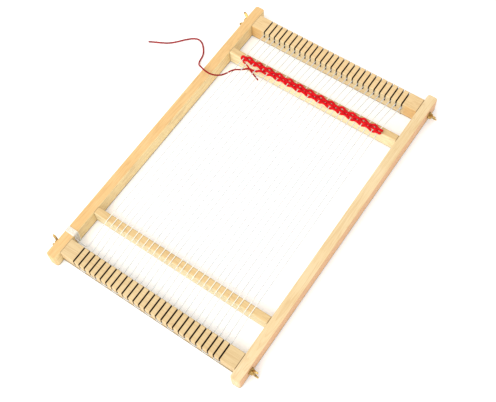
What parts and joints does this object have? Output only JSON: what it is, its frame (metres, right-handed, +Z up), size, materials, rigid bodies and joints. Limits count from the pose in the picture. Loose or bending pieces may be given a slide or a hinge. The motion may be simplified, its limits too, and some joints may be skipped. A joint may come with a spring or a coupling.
{
  "type": "tapestry frame loom",
  "caption": "Small tabletop frame loom: wooden rails, slotted end beams clamped by wing nuts, strung with a cotton warp and a started red weft.",
  "frame": {"origin": "middle of the footprint, wing nuts included, on the surface that the loom lies on", "axes": "+X across the loom towards the right side rail, +Y along the side rails from the near beam to the far beam, +Z up"},
  "size_m": [0.3496, 0.396, 0.0263],
  "materials": {
    "pale_wood_rails": "sanded bare pine, fine straight grain",
    "pale_wood_bars": "sanded bare pine",
    "pale_wood_beams": "sanded bare pine with sawn slots",
    "dowel_wood": "plain birch dowel, glued",
    "brass_stud": "machined, slightly dulled",
    "brass_washer": "stamped, slightly dulled",
    "brass_wing_nut": "cast, dulled olive-gold",
    "warp_cotton": "twisted bleached cotton",
    "weft_yarn": "soft plied wool yarn"
  },
  "bodies": {
    "frame": {"left_side_rail": "pale_wood_rails", "right_side_rail": "pale_wood_rails", "near_cross_bar": "pale_wood_bars", "far_cross_bar": "pale_wood_bars", "near_cross_bar_dowels": "dowel_wood", "far_cross_bar_dowels": "dowel_wood", "near_warp_spans": "warp_cotton", "far_warp_spans": "warp_cotton", "warp_strands": "warp_cotton", "warp_start_strand": "warp_cotton", "warp_rail_wraps": "warp_cotton", "weft_row_1": "weft_yarn", "weft_row_2": "weft_yarn", "weft_row_3": "weft_yarn", "weft_row_4": "weft_yarn", "weft_edge_turns": "weft_yarn", "weft_start_tail": "weft_yarn", "weft_working_yarn": "weft_yarn"},
    "near_beam": {"near_slotted_beam": "pale_wood_beams", "near_left_stud": "brass_stud", "near_right_stud": "brass_stud", "near_warp_turns": "warp_cotton"},
    "far_beam": {"far_slotted_beam": "pale_wood_beams", "far_left_stud": "brass_stud", "far_right_stud": "brass_stud", "far_warp_turns": "warp_cotton", "warp_end_tail": "warp_cotton"},
    "near_left_washer": {"near_left_washer": "brass_washer"},
    "near_left_wing_nut": {"near_left_wing_nut": "brass_wing_nut"},
    "near_right_washer": {"near_right_washer": "brass_washer"},
    "near_right_wing_nut": {"near_right_wing_nut": "brass_wing_nut"},
    "far_left_washer": {"far_left_washer": "brass_washer"},
    "far_left_wing_nut": {"far_left_wing_nut": "brass_wing_nut"},
    "far_right_washer": {"far_right_washer": "brass_washer"},
    "far_right_wing_nut": {"far_right_wing_nut": "brass_wing_nut"}
  },
  "joints": [
    {"name": "near_beam_turn", "type": "hinge", "parent": "frame", "child": "near_beam", "pos_m": [0, -0.1789, 0.0102], "axis": [1, 0, 0], "range_deg": [-15, 15], "deforming": ["near_warp_spans", "warp_start_strand"]},
    {"name": "far_beam_turn", "type": "hinge", "parent": "frame", "child": "far_beam", "pos_m": [0, 0.1789, 0.0102], "axis": [1, 0, 0], "range_deg": [-15, 15], "deforming": ["far_warp_spans"]},
    {"name": "near_left_nut_travel", "type": "slide", "parent": "near_beam", "child": "near_left_washer", "axis": [-1, 0, 0], "range_m": [0, 0.0021]},
    {"name": "near_left_wing_nut_turn", "type": "hinge", "parent": "near_left_washer", "child": "near_left_wing_nut", "pos_m": [-0.125, -0.1789, 0.0102], "axis": [-1, 0, 0], "range_deg": [0, 1084]},
    {"name": "near_right_nut_travel", "type": "slide", "parent": "near_beam", "child": "near_right_washer", "axis": [1, 0, 0], "range_m": [0, 0.0021]},
    {"name": "near_right_wing_nut_turn", "type": "hinge", "parent": "near_right_washer", "child": "near_right_wing_nut", "pos_m": [0.125, -0.1789, 0.0102], "axis": [1, 0, 0], "range_deg": [0, 1084]},
    {"name": "far_left_nut_travel", "type": "slide", "parent": "far_beam", "child": "far_left_washer", "axis": [-1, 0, 0], "range_m": [0, 0.0021]},
    {"name": "far_left_wing_nut_turn", "type": "hinge", "parent": "far_left_washer", "child": "far_left_wing_nut", "pos_m": [-0.125, 0.1789, 0.0102], "axis": [-1, 0, 0], "range_deg": [0, 1084]},
    {"name": "far_right_nut_travel", "type": "slide", "parent": "far_beam", "child": "far_right_washer", "axis": [1, 0, 0], "range_m": [0, 0.0021]},
    {"name": "far_right_wing_nut_turn", "type": "hinge", "parent": "far_right_washer", "child": "far_right_wing_nut", "pos_m": [0.125, 0.1789, 0.0102], "axis": [1, 0, 0], "range_deg": [0, 1084]}
  ],
  "couplings": [
    {"joint": "near_left_wing_nut_turn", "follows": "near_left_nut_travel", "rad_per_m": 8976},
    {"joint": "near_right_wing_nut_turn", "follows": "near_right_nut_travel", "rad_per_m": 8976},
    {"joint": "far_left_wing_nut_turn", "follows": "far_left_nut_travel", "rad_per_m": 8976},
    {"joint": "far_right_wing_nut_turn", "follows": "far_right_nut_travel", "rad_per_m": 8976}
  ]
}
